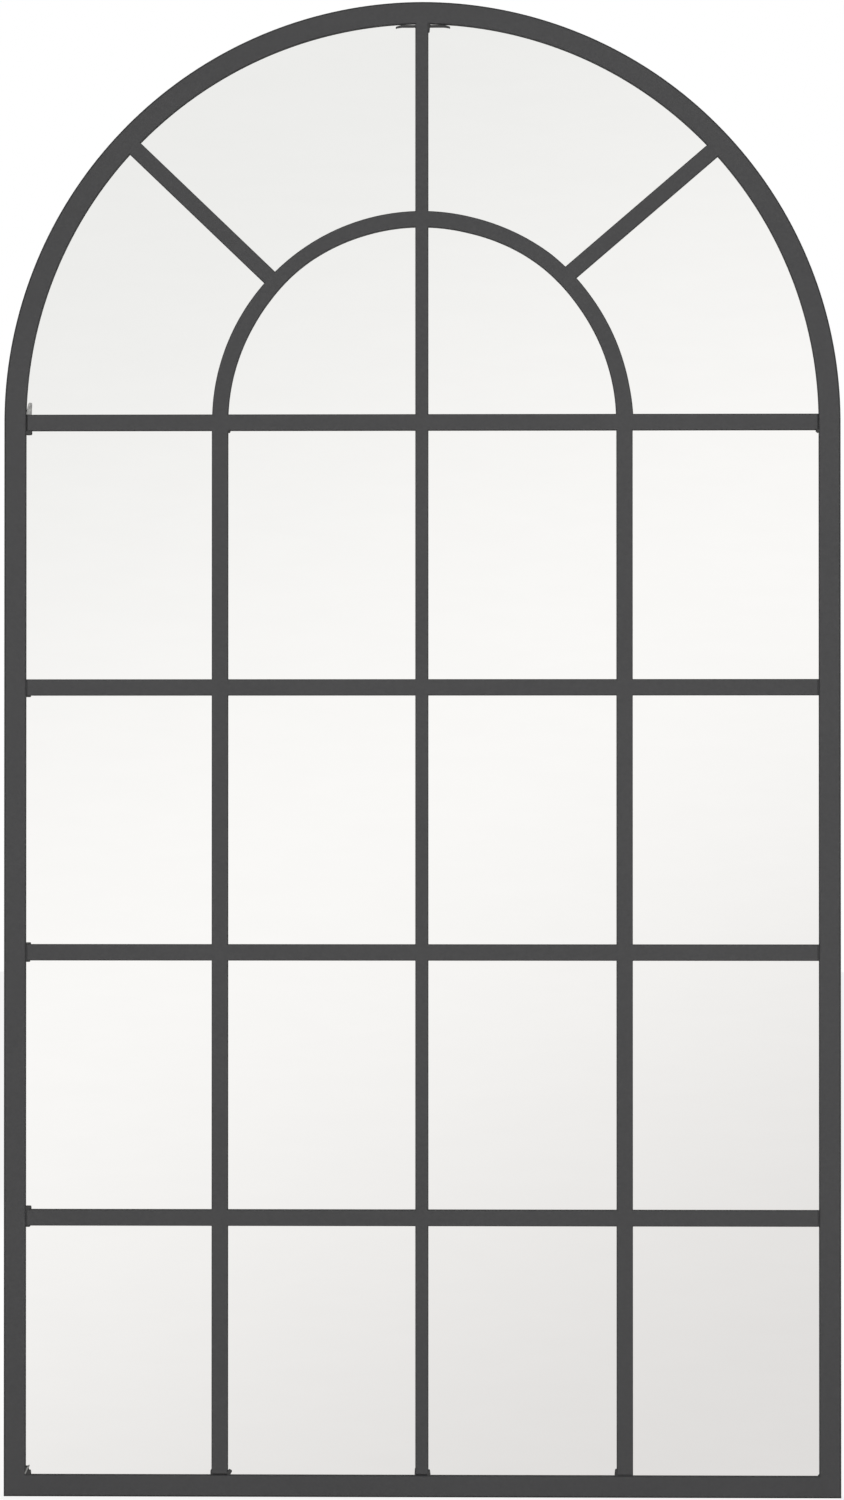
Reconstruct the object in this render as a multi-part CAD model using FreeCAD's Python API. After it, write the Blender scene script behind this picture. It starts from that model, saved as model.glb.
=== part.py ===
import FreeCAD, Part
import math
import os

# An arched window mirror in millimetres: a frame of steel angle, flat glazing bars welded
# inside it, and one arched sheet of mirror bedded behind them.
# +X is to the viewer's right, the front faces -Y and +Z is up.
# The origin is midway between the two keyholes, on the plane of the frame's back edges.

# Frame, of 20 x 20 x 3 equal angle: one leg is the face, the other runs back to the wall.
overall_width = 770.0
overall_height = 1376.0
face_width = 20.0
frame_depth = 20.0
wall = 3.0
heel_chamfer = 0.6
toe_chamfer = 1.2
root_chamfer = 2.0

# Glazing bars, of flat bar flush with the face. The middle upright is the narrower one.
bar_width = 15.0
centre_bar_width = 12.0
bar_thickness = 3.0
bar_arris = 0.4
upright_offset = 186.0
pane_height = 229.0
pane_rows = 4
end_groove = 1.2

# Spokes between the inner arch and the frame: slope from level, and how far each centre
# line passes above the arch's centre. They aren't a mirrored pair.
left_spoke_slope = 43.8
left_spoke_rise = -2.3
right_spoke_slope = 40.6
right_spoke_rise = 13.6

# Bedding, mirror and backing, counted back from the glazing bars.
tape_thickness = 1.0
tape_width = 10.0
bar_tape_width = 8.0
tape_set_back = 2.0
glass_thickness = 4.0
glass_clearance = 2.0
glass_arris = 0.5
board_thickness = 6.0
board_clearance = 3.0

# Rubber blocks under the glass.
block_length = 40.0
block_height = 2.0
block_offset = 190.0

# Retaining ears welded inside the frame, each with one screw into the board.
ear_length = 18.0
ear_width = 15.0
ear_thickness = 1.5
ear_corner = 2.5
ear_hole_radius = 1.8
ear_hole_inset = 9.0
arch_ear_count = 4
stile_ear_heights = (140.0, 430.0, 720.0)
rail_ear_offsets = (-240.0, 240.0)
screw_radius = 1.5
screw_bite = 5.0
screw_head_radius = 3.0
screw_head_height = 2.0

# Keyhole plates at the frame's back edge.
hanging_height = 960.0
keyhole_spacing = 710.0
keyhole_entry_radius = 5.5
keyhole_slot_radius = 2.5
keyhole_slot_rise = 15.0
plate_width = 40.0
plate_above = 26.0
plate_below = 18.0
plate_thickness = 2.0
plate_corner = 5.0

# Wall pads on the backing board.
pad_side = 20.0
pad_corner = 3.0
pad_proud = 1.5
lower_pad_offset = 320.0
lower_pad_height = 70.0
upper_pad_distance = 325.0
upper_pad_slope = 50.0

# How far a cutting shape runs on past what it cuts.
overrun = 1.0

# Worked out from the dimensions above.
outer_radius = overall_width / 2
inner_radius = outer_radius - face_width
bottom = -hanging_height
spring = bottom + overall_height - outer_radius
sill = bottom + face_width
row_pitch = pane_height + bar_width
transom_bottom = sill + pane_rows * row_pitch - bar_width
transom_top = transom_bottom + bar_width
ring_outer = upright_offset + bar_width / 2
ring_inner = upright_offset - bar_width / 2
front = -frame_depth
bar_back = front + bar_thickness
lap_plane = front + bar_thickness / 2
glass_front = bar_back + tape_thickness
glass_back = glass_front + glass_thickness
board_back = glass_back + board_thickness
ear_back = board_back + ear_thickness
leg_inside = outer_radius - wall

V = FreeCAD.Vector
arch_centre = V(0, 0, spring)


def outlined_face(corners, place):
    # A flat face through the corners, each (a, b, radius), where place turns (a, b) into a
    # point of the part and a radius of 0 leaves the corner sharp.
    points = [V(a, b, 0) for a, b, radius in corners]
    legs = []
    for index, (a, b, radius) in enumerate(corners):
        here = points[index]
        back = (points[index - 1] - here).normalize()
        ahead = (points[(index + 1) % len(points)] - here).normalize()
        half = back.getAngle(ahead) / 2
        reach = radius / math.tan(half)
        inset = radius / math.sin(half) - radius
        middle = here + (back + ahead).normalize() * inset
        legs.append((here + back * reach, middle, here + ahead * reach, radius))
    edges = []
    for index, (start, middle, end, radius) in enumerate(legs):
        last_end = legs[index - 1][2]
        edges.append(Part.LineSegment(place(last_end), place(start)).toShape())
        if radius > 0:
            edges.append(Part.Arc(place(start), place(middle), place(end)).toShape())
    return Part.Face(Part.Wire(edges))


def slab(x0, x1, y0, y1, z0, z1):
    return Part.makeBox(x1 - x0, y1 - y0, z1 - z0, V(x0, y0, z0))


def disc(radius, y0, y1, centre=arch_centre):
    base = V(centre.x, y0, centre.z)
    return Part.makeCylinder(radius, y1 - y0, base, V(0, 1, 0))


def mirrored(shape):
    return shape.mirror(V(0, 0, 0), V(1, 0, 0))


def arched_sheet(radius, foot, y0, y1):
    # A half disc on a rectangle, as wide as the half disc.
    left = V(-radius, y0, foot)
    right = V(radius, y0, foot)
    shoulder = V(radius, y0, spring)
    crown = V(0, y0, spring + radius)
    far_shoulder = V(-radius, y0, spring)
    edges = [
        Part.LineSegment(left, right).toShape(),
        Part.LineSegment(right, shoulder).toShape(),
        Part.Arc(shoulder, crown, far_shoulder).toShape(),
        Part.LineSegment(far_shoulder, left).toShape(),
    ]
    return Part.Face(Part.Wire(edges)).extrude(V(0, y1 - y0, 0))


# ---- frame of steel angle ----


def angle_corners():
    # The section from its heel: a runs in across the face, b runs back from the front.
    return [
        (0, heel_chamfer, 0),
        (heel_chamfer, 0, 0),
        (face_width, 0, 0),
        (face_width, wall - toe_chamfer, 0),
        (face_width - toe_chamfer, wall, 0),
        (wall + root_chamfer, wall, 0),
        (wall, wall + root_chamfer, 0),
        (wall, frame_depth - toe_chamfer, 0),
        (wall - toe_chamfer, frame_depth, 0),
        (0, frame_depth, 0),
    ]


def arch_head():
    def place(point):
        return V(outer_radius - point.x, front + point.y, spring)

    section = outlined_face(angle_corners(), place)
    return section.revolve(arch_centre, V(0, -1, 0), 180)


def mitre_wedge(inward, upward):
    # Removes what lies past the 45 degree line of the lower right corner.
    side = face_width + overrun
    start = front - overrun
    heel = V(outer_radius, start, bottom)
    along = V(outer_radius - side, start, bottom + side)
    outside = V(outer_radius - side * inward, start, bottom + side * upward)
    outline = Part.makePolygon([heel, along, outside, heel])
    return Part.Face(outline).extrude(V(0, frame_depth + 2 * overrun, 0))


def right_stile():
    def place(point):
        return V(outer_radius - point.x, front + point.y, bottom)

    bar = outlined_face(angle_corners(), place).extrude(V(0, 0, spring - bottom))
    return bar.cut(mitre_wedge(1, 0))


def bottom_rail():
    def place(point):
        return V(-outer_radius, front + point.y, bottom + point.x)

    bar = outlined_face(angle_corners(), place).extrude(V(overall_width, 0, 0))
    corner = mitre_wedge(0, 1)
    return bar.cut(corner).cut(mirrored(corner))


# ---- glazing bars ----


def chamfered_corners(left, right, low, high, chamfer):
    return [
        (left, low + chamfer, 0),
        (left + chamfer, low, 0),
        (right - chamfer, low, 0),
        (right, low + chamfer, 0),
        (right, high - chamfer, 0),
        (right - chamfer, high, 0),
        (left + chamfer, high, 0),
        (left, high - chamfer, 0),
    ]


def bar_corners(width):
    return chamfered_corners(-width / 2, width / 2, 0, bar_thickness, bar_arris)


def upright(x, width, z0, z1):
    def place(point):
        return V(x + point.x, front + point.y, z0)

    return outlined_face(bar_corners(width), place).extrude(V(0, 0, z1 - z0))


def groove(start, end, outward):
    # The wedge taken off a bar's front edge where it butts against the frame's face.
    back = V(0, end_groove, 0)
    outline = Part.makePolygon([start, start - outward * end_groove, start + back, start])
    return Part.Face(outline).extrude(end - start)


def cross_bar(centre_height, crossed):
    # A level bar from stile to stile, halved at the back where the uprights cross it.
    def place(point):
        return V(-inner_radius, front + point.y, centre_height + point.x)

    bar = outlined_face(bar_corners(bar_width), place).extrude(V(2 * inner_radius, 0, 0))
    low = centre_height - bar_width / 2
    high = centre_height + bar_width / 2
    start = V(inner_radius, front, low)
    end = V(inner_radius, front, high)
    wedge = groove(start, end, V(1, 0, 0))
    bar = bar.cut(wedge).cut(mirrored(wedge))
    for x, width in crossed:
        bar = bar.cut(slab(x - width / 2, x + width / 2, lap_plane, bar_back, low, high))
    return bar.common(arched_sheet(inner_radius, sill, front, bar_back))


def long_upright(x, width, crossing_heights):
    # From the bottom rail up to the transom, halved at the front where it is crossed.
    bar = upright(x, width, sill, transom_bottom)
    left = V(x - width / 2, front, sill)
    right = V(x + width / 2, front, sill)
    bar = bar.cut(groove(left, right, V(0, 0, -1)))
    for height in crossing_heights:
        low = height - bar_width / 2
        high = height + bar_width / 2
        bar = bar.cut(slab(x - width / 2, x + width / 2, front, lap_plane, low, high))
    return bar


def inner_arch():
    def place(point):
        return V(upright_offset + point.x, front + point.y, spring)

    ring = outlined_face(bar_corners(bar_width), place).revolve(arch_centre, V(0, -1, 0), 180)
    below = slab(-outer_radius, outer_radius, front, bar_back, bottom, transom_top)
    return ring.cut(below)


def between_arches(bar):
    # Copes a bar's ends to the inner arch and to the frame's face.
    return bar.common(disc(inner_radius, front, bar_back)).cut(disc(ring_outer, front, bar_back))


def centre_spoke():
    return between_arches(upright(0, centre_bar_width, spring, spring + outer_radius))


def slanted_spoke(slope, rise, side):
    # Stood upright on the arch's centre, moved aside by its rise and turned down to its slope.
    bar = upright(-rise * side, bar_width, spring, spring + outer_radius)
    bar.rotate(arch_centre, V(0, 1, 0), side * (90 - slope))
    return between_arches(bar)


def inner_centre_bar():
    bar = upright(0, centre_bar_width, transom_top, spring + upright_offset)
    return bar.common(disc(ring_inner, front, bar_back))


# ---- bedding tape, mirror, blocks and backing board ----


def arch_tape():
    outer = inner_radius + tape_set_back + tape_width
    ring = disc(outer, bar_back, glass_front).cut(disc(outer - tape_width, bar_back, glass_front))
    above = slab(-outer, outer, bar_back, glass_front, spring, spring + outer)
    return ring.common(above)


def right_tape():
    inner = inner_radius + tape_set_back
    foot = sill - tape_set_back - tape_width
    return slab(inner, inner + tape_width, bar_back, glass_front, foot, spring)


def bottom_tape():
    reach = inner_radius + tape_set_back
    head = sill - tape_set_back
    return slab(-reach, reach, bar_back, glass_front, head - tape_width, head)


def bar_tape(x):
    half = bar_tape_width / 2
    head = transom_top - tape_set_back
    return slab(x - half, x + half, bar_back, glass_front, sill - tape_set_back, head)


def mirror_sheet():
    foot = bottom + wall + block_height
    sheet = arched_sheet(leg_inside - glass_clearance, foot, glass_front, glass_back)
    rim = [e for e in sheet.Edges if e.BoundBox.YLength < glass_arris]
    return sheet.makeChamfer(glass_arris, rim)


def setting_block(x):
    # It lies behind the thickened root of the angle.
    half = block_length / 2
    low = bottom + wall
    start = bar_back + root_chamfer
    return slab(x - half, x + half, start, board_back, low, low + block_height)


def backing_board():
    foot = bottom + wall + block_height
    board = arched_sheet(leg_inside - board_clearance, foot, glass_back, board_back)
    for centre, turn in ear_places():
        hole = screw_centre(centre, turn)
        board = board.cut(disc(screw_radius, board_back - screw_bite, board_back, hole))
    return board


# ---- retaining ears and their screws ----


def arch_ear_places():
    step = 180.0 / arch_ear_count
    places = []
    for index in range(arch_ear_count):
        turn = step * (index + 0.5)
        angle = math.radians(turn)
        outward = V(math.cos(angle), 0, math.sin(angle))
        places.append((arch_centre + outward * leg_inside, turn))
    return places


def stile_ear_places(side):
    turn = 0 if side > 0 else 180
    return [(V(side * leg_inside, 0, bottom + height), turn) for height in stile_ear_heights]


def rail_ear_places():
    return [(V(x, 0, bottom + wall), -90) for x in rail_ear_offsets]


def ear_places():
    stiles = stile_ear_places(1) + stile_ear_places(-1)
    return arch_ear_places() + stiles + rail_ear_places()


def screw_centre(foot, turn):
    angle = math.radians(turn)
    return foot - V(math.cos(angle), 0, math.sin(angle)) * ear_hole_inset


def ear(foot, turn):
    # Drawn with its welded edge at x = 0 and a little over, turned to the leg that carries
    # it and then cut back to that leg.
    half = ear_length / 2
    corners = chamfered_corners(-ear_width, ear_corner, -half, half, ear_corner)

    def place(point):
        return V(point.x, board_back, point.y)

    plate = outlined_face(corners, place).extrude(V(0, ear_thickness, 0))
    plate.rotate(V(0, 0, 0), V(0, -1, 0), turn)
    plate.translate(foot)
    hole = disc(ear_hole_radius, board_back, ear_back, screw_centre(foot, turn))
    inside = arched_sheet(leg_inside, bottom + wall, board_back, ear_back)
    return plate.cut(hole).common(inside)


def screw(centre):
    # A cheese head on a plain shank that runs through the ear into the board.
    shank = disc(screw_radius, board_back - screw_bite, ear_back, centre)
    head = disc(screw_head_radius, ear_back, ear_back + screw_head_height, centre)
    return shank.fuse(head)


# ---- keyhole plates and wall pads ----


def right_keyhole_plate():
    hole_x = keyhole_spacing / 2
    inner = leg_inside - plate_width
    corners = [
        (leg_inside, -plate_below, 0),
        (leg_inside, plate_above, 0),
        (inner, plate_above, plate_corner),
        (inner, -plate_below, plate_corner),
    ]

    def place(point):
        return V(point.x, -plate_thickness, point.y)

    plate = outlined_face(corners, place).extrude(V(0, plate_thickness, 0))
    entry = disc(keyhole_entry_radius, -plate_thickness, 0, V(hole_x, 0, 0))
    slot_end = disc(keyhole_slot_radius, -plate_thickness, 0, V(hole_x, 0, keyhole_slot_rise))
    left = hole_x - keyhole_slot_radius
    right = hole_x + keyhole_slot_radius
    slot = slab(left, right, -plate_thickness, 0, 0, keyhole_slot_rise)
    return plate.cut(entry).cut(slot_end).cut(slot).removeSplitter()


def wall_pad(x, z):
    half = pad_side / 2

    def place(point):
        return V(x + point.x, board_back, z + point.y)

    corners = chamfered_corners(-half, half, -half, half, pad_corner)
    return outlined_face(corners, place).extrude(V(0, pad_proud - board_back, 0))


def upper_pad(side):
    angle = math.radians(upper_pad_slope)
    reach = upper_pad_distance
    return wall_pad(side * reach * math.cos(angle), spring + reach * math.sin(angle))


def lower_pad(side):
    return wall_pad(side * lower_pad_offset, bottom + lower_pad_height)


def ears_at(places):
    return Part.Compound([ear(foot, turn) for foot, turn in places])


def all_nodes():
    crossing = [transom_bottom + bar_width / 2 - row_pitch * row for row in range(pane_rows)]
    crossed = [
        (-upright_offset, bar_width),
        (0, centre_bar_width),
        (upright_offset, bar_width),
    ]
    stile = right_stile()
    tape = right_tape()
    plate = right_keyhole_plate()
    nodes = {
        "arch_head": arch_head(),
        "left_stile": mirrored(stile),
        "right_stile": stile,
        "bottom_rail": bottom_rail(),
        "transom_bar": cross_bar(crossing[0], []),
        "upper_cross_bar": cross_bar(crossing[1], crossed),
        "middle_cross_bar": cross_bar(crossing[2], crossed),
        "lower_cross_bar": cross_bar(crossing[3], crossed),
        "left_upright_bar": long_upright(-upright_offset, bar_width, crossing[1:]),
        "centre_upright_bar": long_upright(0, centre_bar_width, crossing[1:]),
        "right_upright_bar": long_upright(upright_offset, bar_width, crossing[1:]),
        "inner_arch_bar": inner_arch(),
        "inner_centre_bar": inner_centre_bar(),
        "centre_spoke": centre_spoke(),
        "left_spoke": slanted_spoke(left_spoke_slope, left_spoke_rise, -1),
        "right_spoke": slanted_spoke(right_spoke_slope, right_spoke_rise, 1),
        "arch_bedding_tape": arch_tape(),
        "left_bedding_tape": mirrored(tape),
        "right_bedding_tape": tape,
        "bottom_bedding_tape": bottom_tape(),
        "left_bar_tape": bar_tape(-upright_offset),
        "centre_bar_tape": bar_tape(0),
        "right_bar_tape": bar_tape(upright_offset),
        "mirror_sheet": mirror_sheet(),
        "left_setting_block": setting_block(-block_offset),
        "right_setting_block": setting_block(block_offset),
        "backing_board": backing_board(),
        "arch_retaining_ears": ears_at(arch_ear_places()),
        "left_retaining_ears": ears_at(stile_ear_places(-1)),
        "right_retaining_ears": ears_at(stile_ear_places(1)),
        "bottom_retaining_ears": ears_at(rail_ear_places()),
        "backing_screws": Part.Compound([screw(screw_centre(*place)) for place in ear_places()]),
        "left_keyhole_plate": mirrored(plate),
        "right_keyhole_plate": plate,
        "upper_left_wall_pad": upper_pad(-1),
        "upper_right_wall_pad": upper_pad(1),
        "lower_left_wall_pad": lower_pad(-1),
        "lower_right_wall_pad": lower_pad(1),
    }
    return nodes


os.makedirs("parts", exist_ok=True)
for name, shape in all_nodes().items():
    shape.exportStep("parts/" + name + ".step")
    print(name, len(shape.Solids), round(shape.Volume, 1), shape.isValid())
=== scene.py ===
import math
import random

import bmesh
import bpy
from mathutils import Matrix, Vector


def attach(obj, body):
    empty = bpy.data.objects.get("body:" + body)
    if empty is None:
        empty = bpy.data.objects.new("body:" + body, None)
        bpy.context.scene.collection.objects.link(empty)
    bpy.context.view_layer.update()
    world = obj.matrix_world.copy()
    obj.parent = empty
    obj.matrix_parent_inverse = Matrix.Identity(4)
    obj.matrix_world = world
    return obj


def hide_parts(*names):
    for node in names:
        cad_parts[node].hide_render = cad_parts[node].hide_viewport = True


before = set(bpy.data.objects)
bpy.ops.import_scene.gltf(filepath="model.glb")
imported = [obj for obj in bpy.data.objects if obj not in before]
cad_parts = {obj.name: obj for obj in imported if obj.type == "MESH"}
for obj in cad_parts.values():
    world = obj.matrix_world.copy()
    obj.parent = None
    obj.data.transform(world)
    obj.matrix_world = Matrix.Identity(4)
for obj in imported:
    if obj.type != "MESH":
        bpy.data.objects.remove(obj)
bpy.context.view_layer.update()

mm = 0.001
random.seed(7)
print("frame loaded with", len(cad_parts), "nodes")

# sizes that the pieces share, in mm: the frame's, but for the inner arch's bar, radius and centre
# and how far the right upright stands out, which are the real mirror's
sizes = {
    "radius": 385.0, "face": 20.0, "depth": 20.0, "wall": 3.0,
    "spring": 31.0, "bottom": -960.0, "sill": -940.0,
    "front": -20.0, "barBack": -17.0, "glassFront": -16.0, "glassBack": -12.0,
    "boardBack": -6.0, "earBack": -4.5,
    "bar": 15.0, "centreBar": 12.0, "upright": 186.0, "rightOut": 0.5,
    "ring": 185.75, "ringBar": 14.5, "ringSpring": 30.3,
    "transom": 28.5, "crossings": (-215.5, -459.5, -703.5),
}
inside = sizes["radius"] - sizes["face"]
legInside = sizes["radius"] - sizes["wall"]


# small helpers

weldGap = 0.002  # mm, under which two vertices are one


def near(a, b, gap=0.02):
    return abs(a - b) < gap


def clearSelection():
    if bpy.context.mode != "OBJECT":
        bpy.ops.object.mode_set(mode="OBJECT")
    bpy.ops.object.select_all(action="DESELECT")


def makeActive(piece):
    clearSelection()
    piece.select_set(True)
    bpy.context.view_layer.objects.active = piece


def openPiece(piece):
    makeActive(piece)
    bpy.ops.object.mode_set(mode="EDIT")


def startPiece(name, kind, extent, centre, turn=(0, 0, 0), **options):
    # a primitive of unit size, with its size (mm), turn (degrees) and place (mm) put into the mesh
    units = {
        "cube": {"size": 1}, "plane": {"size": 1},
        "circle": {"radius": 1}, "cylinder": {"radius": 1, "depth": 1},
    }
    clearSelection()
    getattr(bpy.ops.mesh, "primitive_" + kind + "_add")(**units[kind], **options)
    piece = bpy.context.object
    piece.name = piece.data.name = name
    piece.scale = [e * mm for e in extent]
    piece.rotation_euler = [math.radians(a) for a in turn]
    piece.location = [c * mm for c in centre]
    bpy.ops.object.transform_apply()
    openPiece(piece)
    return piece


def pick(kind, test):
    # faces are tested by middle and normal, edges by middle and direction, vertices by place, all in
    # mm; an edge that only divides a flat face is passed over
    bpy.ops.mesh.select_mode(type=kind)
    bpy.ops.mesh.select_all(action="DESELECT")
    mesh = bmesh.from_edit_mesh(bpy.context.object.data)
    if kind == "FACE":
        for face in mesh.faces:
            if test(face.calc_center_median() / mm, face.normal):
                face.select_set(True)
    if kind == "EDGE":
        for edge in mesh.edges:
            a, b = (v.co / mm for v in edge.verts)
            if edge.calc_face_angle(1.0) > 0.01 and test((a + b) / 2, (b - a).normalized()):
                edge.select_set(True)
    if kind == "VERT":
        for vert in mesh.verts:
            if test(vert.co / mm):
                vert.select_set(True)
    mesh.select_flush_mode()
    bmesh.update_edit_mesh(bpy.context.object.data)


def extrudeBy(x, y, z):
    bpy.ops.mesh.extrude_region_move(TRANSFORM_OT_translate={"value": (x * mm, y * mm, z * mm)})


def moveBy(x, y, z):
    bpy.ops.transform.translate(value=(x * mm, y * mm, z * mm))


def roundOff(width, segments, corners=False):
    bpy.ops.mesh.bevel(offset=width * mm, segments=segments, affect="VERTICES" if corners else "EDGES")


def sliceAt(place, direction, keep=""):
    # keep is "below" or "above" the plane along its direction, or nothing to keep both sides
    bpy.ops.mesh.select_all(action="SELECT")
    bpy.ops.mesh.bisect(
        plane_co=[c * mm for c in place], plane_no=direction, use_fill=bool(keep),
        clear_outer=keep == "below", clear_inner=keep == "above",
    )


def cutWith(piece, cutter, discard=False):
    clearSelection()
    modifier = piece.modifiers.new("cut", "BOOLEAN")
    modifier.operation = "DIFFERENCE"
    modifier.solver = "EXACT"
    modifier.object = cutter
    makeActive(piece)
    bpy.ops.object.modifier_apply(modifier="cut")
    if discard:
        bpy.data.objects.remove(cutter)


def copyPiece(piece, name, move=(0, 0, 0), turn=0, flip=False):
    # its own mesh, turned about the Y axis (degrees), then moved (mm)
    made = piece.copy()
    made.data = piece.data.copy()
    made.name = made.data.name = name
    bpy.context.scene.collection.objects.link(made)
    makeActive(made)
    made.scale = (-1, 1, 1) if flip else (1, 1, 1)
    made.rotation_euler = (0, math.radians(turn), 0)
    made.location = [c * mm for c in move]
    bpy.ops.object.transform_apply()
    return made


def softened(piece, levels=2):
    # a subdivision surface, applied
    makeActive(piece)
    soften = piece.modifiers.new("soften", "SUBSURF")
    soften.levels = soften.render_levels = levels
    bpy.ops.object.modifier_apply(modifier="soften")


def paintAll(piece, material):
    # this one material in place of what the piece has
    piece.data.materials.clear()
    piece.data.materials.append(material)


def joinPieces(pieces, name):
    clearSelection()
    for piece in pieces:
        piece.select_set(True)
    bpy.context.view_layer.objects.active = pieces[0]
    bpy.ops.object.join()
    pieces[0].name = pieces[0].data.name = name
    return pieces[0]


def finishPiece(piece, material, slotName, *nodes, smooth=12):
    openPiece(piece)
    bpy.ops.mesh.select_all(action="SELECT")
    bpy.ops.mesh.remove_doubles(threshold=weldGap * mm)
    bpy.ops.mesh.normals_make_consistent(inside=False)
    makeActive(piece)
    if smooth:
        bpy.ops.object.shade_smooth_by_angle(angle=math.radians(smooth))
    if not piece.data.materials:
        piece.data.materials.append(material)
    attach(piece, "root")
    if nodes:
        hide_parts(*nodes)
    clearSelection()
    return piece


def linear(hexText):
    # an sRGB hex value as the linear colour that shaders take
    parts = [int(hexText[i:i + 2], 16) / 255 for i in (1, 3, 5)]
    return [p / 12.92 if p <= 0.04045 else ((p + 0.055) / 1.055) ** 2.4 for p in parts] + [1.0]


def addNode(tree, kind, settings={}, values={}, links={}):
    node = tree.nodes.new("ShaderNode" + kind)
    for name, value in settings.items():
        setattr(node, name, value)
    for name, value in values.items():
        node.inputs[name].default_value = value
    for name, source in links.items():
        tree.links.new(source, node.inputs[name])
    return node


def newMaterial(name, **values):
    material = bpy.data.materials.new(name)
    material.use_nodes = True
    tree = material.node_tree
    tree.nodes.clear()
    shader = addNode(tree, "BsdfPrincipled", values=values)
    addNode(tree, "OutputMaterial", links={"Surface": shader.outputs[0]})
    return material, tree, shader


def patternPlace(tree, stretch=(1, 1, 1), turn=(0, 0, 0)):
    # object coordinates in millimetres, so that a noise of scale 1 / n has features of about n mm
    where = addNode(tree, "TexCoord")
    return addNode(
        tree, "Mapping", values={"Scale": [1000 / s for s in stretch], "Rotation": turn},
        links={"Vector": where.outputs["Object"]},
    ).outputs[0]


def noiseOf(tree, place, size, detail=2.0, roughness=0.5):
    return addNode(
        tree, "TexNoise", values={"Scale": 1 / size, "Detail": detail, "Roughness": roughness},
        links={"Vector": place},
    ).outputs["Fac"]


def mixColours(tree, factor, first, second, low=0.3, high=0.7):
    # a ramp between two hex colours over the given part of the factor
    ramp = addNode(tree, "ValToRGB", links={"Fac": factor})
    ramp.color_ramp.elements[0].position = low
    ramp.color_ramp.elements[0].color = linear(first)
    ramp.color_ramp.elements[1].position = high
    ramp.color_ramp.elements[1].color = linear(second)
    return ramp.outputs["Color"]


def multiplyColours(tree, first, second):
    node = addNode(tree, "Mix", {"data_type": "RGBA", "blend_type": "MULTIPLY"})
    node.inputs[0].default_value = 1.0
    tree.links.new(first, node.inputs[6])
    tree.links.new(second, node.inputs[7])
    return node.outputs[2]


def mixShaders(tree, factor, first, second):
    return addNode(tree, "MixShader", links={0: factor, 1: first.outputs[0], 2: second.outputs[0]})


def spread(tree, factor, low, high):
    return addNode(
        tree, "MapRange", values={"From Min": 0.25, "From Max": 0.75, "To Min": low, "To Max": high},
        links={"Value": factor},
    ).outputs[0]


def bumpFrom(tree, height, depth, under=None):
    # depth in mm
    links = {"Height": height}
    if under:
        links["Normal"] = under
    return addNode(tree, "Bump", values={"Strength": 1.0, "Distance": depth * mm}, links=links).outputs[0]


# finishes

# Polyester powder coat, anthracite: sprayed and stoved, so it is matt with a soft orange
# peel and lies in one even tone.
coatFinish = {
    "tone": "#3a3a3b", "deep": "#383839", "cloud": 140,
    "peel": 7.0, "grain": 3.0, "peelDepth": 0.012, "grainDepth": 0.006,
}
powderCoat, tree, shader = newMaterial("powderCoatAnthracite", Roughness=0.6)
place = patternPlace(tree)
peel = noiseOf(tree, place, coatFinish["peel"])  # really 2 to 3 mm, drawn coarser to show
grain = noiseOf(tree, place, coatFinish["grain"], 4.0)  # really 0.3 mm
cloud = noiseOf(tree, place, coatFinish["cloud"])
tree.links.new(mixColours(tree, cloud, coatFinish["deep"], coatFinish["tone"]), shader.inputs["Base Color"])
tree.links.new(spread(tree, grain, 0.54, 0.66), shader.inputs["Roughness"])
bump = bumpFrom(tree, grain, coatFinish["grainDepth"], bumpFrom(tree, peel, coatFinish["peelDepth"]))
tree.links.new(bump, shader.inputs["Normal"])

# The same coat where it lies thick and glossier on a weld.
weldFinish = {"tone": "#2f2f2f", "deep": "#292929", "lumps": 2.2, "depth": 0.12}
weldCoat, tree, shader = newMaterial("powderCoatOnWeld", Roughness=0.5)
place = patternPlace(tree)
lumps = noiseOf(tree, place, weldFinish["lumps"], 3.0)
tree.links.new(mixColours(tree, lumps, weldFinish["deep"], weldFinish["tone"]), shader.inputs["Base Color"])
tree.links.new(spread(tree, lumps, 0.42, 0.6), shader.inputs["Roughness"])
tree.links.new(bumpFrom(tree, lumps, weldFinish["depth"]), shader.inputs["Normal"])

# Silver behind float glass: a mirror with a trace of wave from the float bath and the
# faintest wiping marks.
silverFinish = {"tone": "#fcfcfb", "wave": 260.0, "waveDepth": 0.004, "wipe": 60.0}
silver, tree, shader = newMaterial("silveredFloatGlass", Metallic=1.0, Roughness=0.01)
place = patternPlace(tree)
wiped = noiseOf(tree, patternPlace(tree, (1, 1, 0.25), (0, 0.7, 0)), silverFinish["wipe"], 5.0)
tree.links.new(mixColours(tree, wiped, "#fbfbfa", silverFinish["tone"]), shader.inputs["Base Color"])
tree.links.new(spread(tree, wiped, 0.005, 0.016), shader.inputs["Roughness"])
wave = noiseOf(tree, place, silverFinish["wave"], 1.0)
tree.links.new(bumpFrom(tree, wave, silverFinish["waveDepth"]), shader.inputs["Normal"])

# The ground rim of the glass, greenish and matt.
glassRim, tree, shader = newMaterial("groundGlassEdge", Roughness=0.45, IOR=1.52)
place = patternPlace(tree)
grit = noiseOf(tree, place, 1.2, 3.0)
tree.links.new(mixColours(tree, grit, "#4f7a69", "#6d9685"), shader.inputs["Base Color"])
tree.links.new(bumpFrom(tree, grit, 0.03), shader.inputs["Normal"])

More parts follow.
